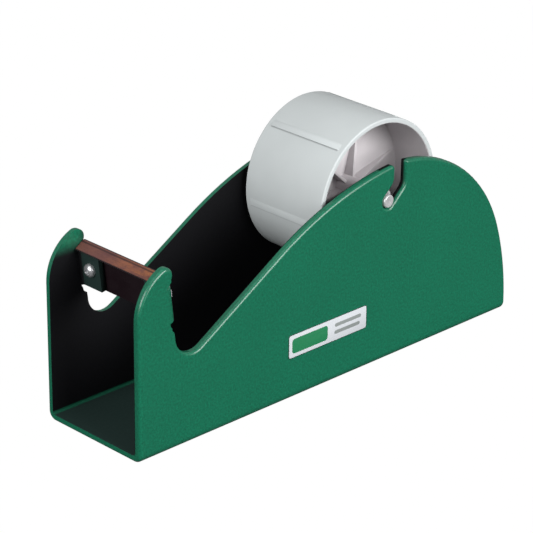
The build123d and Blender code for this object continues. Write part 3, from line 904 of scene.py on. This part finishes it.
class DISPENSER_OT_axle(Operator):
    """Turns the axle, with its clip grooves and chamfered ends, and copies the retaining clips from their CAD
    nodes
    """
    bl_idname = "dispenser.axle"
    bl_label = "Axle and clips"

    def execute(self, context):
        steel = turned_steel()
        long = extent("axle").y / 2
        r = extent("axle").x / 2
        clip_y = abs(middle("axle_clip_left").y)
        clip_half = extent("axle_clip_left").y / 2 + 0.02 * MM
        depth = 0.5 * MM
        chamfered_end = [(0, -long + 0.25 * MM), (0.7 * MM, -long), (r - 0.5 * MM, -long),
                         (r - 0.12 * MM, -long + 0.3 * MM), (r, -long + 0.6 * MM)]
        profile = list(chamfered_end)
        for side in (-1, 1):
            near, far = side * clip_y - clip_half, side * clip_y + clip_half
            profile += [(r, near), (r - depth, near), (r - depth, far), (r, far)]
        profile += [(a, -b) for a, b in reversed(chamfered_end)]
        mesh = lathe(profile, 64, closed=False)
        mesh.transform(Matrix.Translation((AXLE.x, 0, AXLE.z)))
        finished("turned_axle", mesh, steel, "axle", "axle_steel", "axle")
        for side in ("left", "right"):
            mesh = smooth_copy("axle_clip_" + side)
            finished("retaining_clip_" + side, mesh, steel, "axle", "axle_steel", "axle_clip_" + side)
        return {"FINISHED"}


class DISPENSER_OT_drum(Operator):
    """Moulds the core drum: shell, web and hub turned in one, with rings of gussets and grips"""
    bl_idname = "dispenser.drum"
    bl_label = "Core drum"

    def execute(self, context):
        values = settings("drum")
        low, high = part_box("core_drum")
        hub_half = (high.y - low.y) / 2
        half = 24.5 * MM
        r = values.radius
        inner = r - values.wall
        hub, bore = 5.1 * MM, 3.2 * MM
        web = values.web / 2
        soft = 0.7 * MM
        root = 0.6 * MM
        right = ([(bore, 0), (bore, hub_half - 0.35 * MM), (bore + 0.35 * MM, hub_half)]
                 + corner((hub - 0.4 * MM, hub_half - 0.4 * MM), 0.4 * MM, 90, 0, 3)
                 + corner((hub + root, web + root), root, 180, 270, 4)
                 + corner((inner - root, web + root), root, 270, 360, 4)
                 + [(inner, half - 0.3 * MM), (inner + 0.3 * MM, half)]
                 + corner((r - soft, half - soft), soft, 90, 0, 5) + [(r, 0)])
        left = [(a, -b) for a, b in reversed(right[1:-1])]
        body = lathe(right + left, 180)
        gusset = joined(*(self.gusset(side, hub, web) for side in (-1, 1)))
        ring = ring_tree()
        gussets = repeated(ring, gusset, None, count=values.gussets, first_angle=values.gusset_angle)
        grips = repeated(ring, self.grip(r), None, count=values.grips, first_angle=values.grip_angle)
        mesh = joined(body, gussets, grips)
        mesh.transform(Matrix.Translation((AXLE.x, 0, AXLE.z)))
        finished("moulded_drum", mesh, drum_plastic(), "drum", "drum_plastic", "core_drum", smooth=32)
        return {"FINISHED"}

    def gusset(self, side, hub, web):
        """One tapered gusset against the web, from the hub out."""
        start, end = hub - 0.5 * MM, 34.5 * MM
        outline = [(start, 0), (end, 0), (end, web + 0.05 * MM), (start, web + 5.5 * MM)]
        return prism(outline, 0.75 * MM, lambda a, b, c: Vector((a, side * b, c)), bevel=0.2 * MM)

    def grip(self, r):
        """One low ramp along the shell, steep on the side that holds the core."""
        spread = settings("drum").grip_spread
        sunk, foot, top = r - 0.05 * MM, r - 1 * MM, r + 0.42 * MM
        outline = [(sunk * cos(spread), -sunk * sin(spread)), (top, 0), (foot, 0),
                   (foot * cos(spread), -foot * sin(spread))]
        return prism(outline, settings("drum").grip_half, lambda a, b, c: Vector((a, c, b)), bevel=0.08 * MM)


def rounded_slab(low, high, radius, rim, axis, turn=0.0):
    """A slab with rounded corners and soft rims, thin along the axis named."""
    centre, half = (low + high) / 2, (high - low) / 2
    order = {"Z": (0, 1, 2), "Y": (0, 2, 1)}[axis]
    a, b, c = (half[k] for k in order)
    outline = []
    for sx, sy, start in ((1, 1, 0), (-1, 1, 90), (-1, -1, 180), (1, -1, 270)):
        outline += corner((sx * (a - radius), sy * (b - radius)), radius, start, start + 90, 6)

    def place(x, y, z):
        x, y = x * cos(turn) - y * sin(turn), x * sin(turn) + y * cos(turn)
        point = [0, 0, 0]
        point[order[0]], point[order[1]], point[order[2]] = x, y, z
        return centre + Vector(point)

    form = bmesh.new()
    upper = [(c, rim), (c - rim * 0.3, rim * 0.3), (c - rim, 0)]
    rings = []
    for z, inset in upper + [(-z, inset) for z, inset in reversed(upper)]:
        rings.append([form.verts.new(place(x * (1 - inset / a), y * (1 - inset / b), z)) for x, y in outline])
    skin(form, rings)
    form.faces.new(rings[0])
    form.faces.new(reversed(rings[-1]))
    return outward(form)


class DISPENSER_OT_trim(Operator):
    """Makes the rubber pads and the stuck-on label"""
    bl_idname = "dispenser.trim"
    bl_label = "Pads and label"

    def execute(self, context):
        values = settings("trim")
        rubber = pad_rubber()
        for name, node, turn, wide in (("front_rubber", "front_pad", 0.0, values.front_width),
                                       ("rear_rubber", "rear_pad", values.rear_turn, values.rear_width)):
            centre, half = middle(node), Vector((values.pad_length, wide, extent(node).z)) / 2
            mesh = rounded_slab(centre - half, centre + half, 2.0 * MM, 0.35 * MM, "Z", turn)
            finished(name, mesh, rubber, "frame", "pad_rubber", node, smooth=50)
        low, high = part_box("side_label")
        mesh = rounded_slab(low, high, 1.2 * MM, 0.05 * MM, "Y")
        finished("stuck_label", mesh, label_film(), "frame", "label_film", "side_label", smooth=50)
        return {"FINISHED"}


# ------------------------------------------------------------------ stage

def soft_light(name, place, aim, size, power):
    """A rectangular softbox that faces the point it is aimed at."""
    lamp = bpy.data.lights.new(name, "AREA")
    lamp.shape = "RECTANGLE"
    lamp.size, lamp.size_y = size
    lamp.energy = power
    box = linked(name, lamp)
    box.location = place
    box.rotation_euler = (Vector(aim) - Vector(place)).to_track_quat("-Z", "Y").to_euler()


def floor_paint():
    """Pale floor that throws little light back on the object."""
    material = bpy.data.materials.new("Pale floor")
    material.use_nodes = True
    tree = material.node_tree
    finish = next(n for n in tree.nodes if n.type == "BSDF_PRINCIPLED")
    out = next(n for n in tree.nodes if n.type == "OUTPUT_MATERIAL")
    finish.inputs["Base Color"].default_value = rgba((settings("stage").floor_tone,) * 3)
    finish.inputs["Roughness"].default_value = 0.9
    finish.inputs["Specular IOR Level"].default_value = 0.0
    glow = tree.nodes.new("ShaderNodeEmission")
    glow.inputs["Strength"].default_value = 1.03
    seen = tree.nodes.new("ShaderNodeLightPath")
    mix = tree.nodes.new("ShaderNodeMixShader")
    share = tree.nodes.new("ShaderNodeMath")
    share.operation = "MULTIPLY"
    share.inputs[1].default_value = 0.97
    tree.links.new(seen.outputs["Is Camera Ray"], share.inputs[0])
    tree.links.new(share.outputs[0], mix.inputs[0])
    tree.links.new(finish.outputs[0], mix.inputs[1])
    tree.links.new(glow.outputs[0], mix.inputs[2])
    tree.links.new(mix.outputs[0], out.inputs["Surface"])
    return material


class DISPENSER_OT_stage(Operator):
    """Lays the floor, hangs the lights and sets the camera"""
    bl_idname = "dispenser.stage"
    bl_label = "Stage"

    def execute(self, context):
        values = settings("stage")
        form = bmesh.new()
        bmesh.ops.create_grid(form, x_segments=1, y_segments=1, size=6.0)
        floor = linked("floor", to_mesh(form, "floor"))
        floor.data.materials.append(floor_paint())
        soft_light("key", (0.25, -1.42, 0.66), (0, 0, 0.05), (1.3, 0.9), 35.0)
        soft_light("top", (-0.35, 0.10, 1.5), (0, 0, 0.05), (1.0, 1.0), 2.5)
        soft_light("front", (-1.45, -0.20, 0.68), (0, 0, 0.08), (1.1, 0.9), 22.0)
        world = bpy.data.worlds.new("studio")
        world.use_nodes = True
        tree = world.node_tree
        back = tree.nodes["Background"]
        back.inputs["Color"].default_value = (1, 1, 1, 1)
        seen = tree.nodes.new("ShaderNodeLightPath")
        share = tree.nodes.new("ShaderNodeMapRange")
        share.inputs["To Min"].default_value = values.fill
        share.inputs["To Max"].default_value = 1.0
        tree.links.new(seen.outputs["Is Camera Ray"], share.inputs["Value"])
        tree.links.new(share.outputs["Result"], back.inputs["Strength"])
        context.scene.world = world
        context.scene.view_settings.view_transform = "Standard"
        lens = bpy.data.cameras.new("camera")
        lens.lens = values.lens
        lens.sensor_width = 36.0
        lens.clip_start = 0.05
        camera = linked("camera", lens)
        az, el, roll = values.azimuth, values.elevation, values.roll
        back_way = Vector((sin(az) * cos(el), -cos(az) * cos(el), sin(el)))
        level = Vector((cos(az), sin(az), 0))
        rise = back_way.cross(level)
        right = level * cos(roll) + rise * sin(roll)
        up = back_way.cross(right)
        turn = Matrix((right, up, back_way)).transposed().to_4x4()
        camera.matrix_world = Matrix.Translation(Vector(values.target) + back_way * values.distance) @ turn
        context.scene.camera = camera
        return {"FINISHED"}


class DISPENSER_PT_panel(Panel):
    """Lists the dispenser's pieces and settings"""
    bl_idname = "DISPENSER_PT_panel"
    bl_label = "Tape dispenser"
    bl_space_type = "VIEW_3D"
    bl_region_type = "UI"
    bl_category = "Dispenser"

    def draw(self, context):
        for maker in MAKERS:
            self.layout.operator(maker.bl_idname)
        for name, kind in SETTINGS.items():
            box = self.layout.box()
            box.label(text=name.capitalize())
            for key in kind.__annotations__:
                box.prop(settings(name), key)


MAKERS = (DISPENSER_OT_plate, DISPENSER_OT_blade, DISPENSER_OT_fasteners, DISPENSER_OT_axle,
          DISPENSER_OT_drum, DISPENSER_OT_trim, DISPENSER_OT_stage)


def register():
    for kind in SETTINGS.values():
        bpy.utils.register_class(kind)
    for kind in MAKERS + (DISPENSER_PT_panel,):
        bpy.utils.register_class(kind)
    for name, kind in SETTINGS.items():
        setattr(bpy.types.Scene, "dispenser_" + name, PointerProperty(type=kind))


def unregister():
    for name in SETTINGS:
        delattr(bpy.types.Scene, "dispenser_" + name)
    for kind in (DISPENSER_PT_panel,) + MAKERS[::-1] + tuple(SETTINGS.values()):
        bpy.utils.unregister_class(kind)


def main():
    register()
    for make in (bpy.ops.dispenser.plate, bpy.ops.dispenser.blade, bpy.ops.dispenser.fasteners,
                 bpy.ops.dispenser.axle, bpy.ops.dispenser.drum, bpy.ops.dispenser.trim,
                 bpy.ops.dispenser.stage):
        make()


if __name__ == "__main__":
    main()
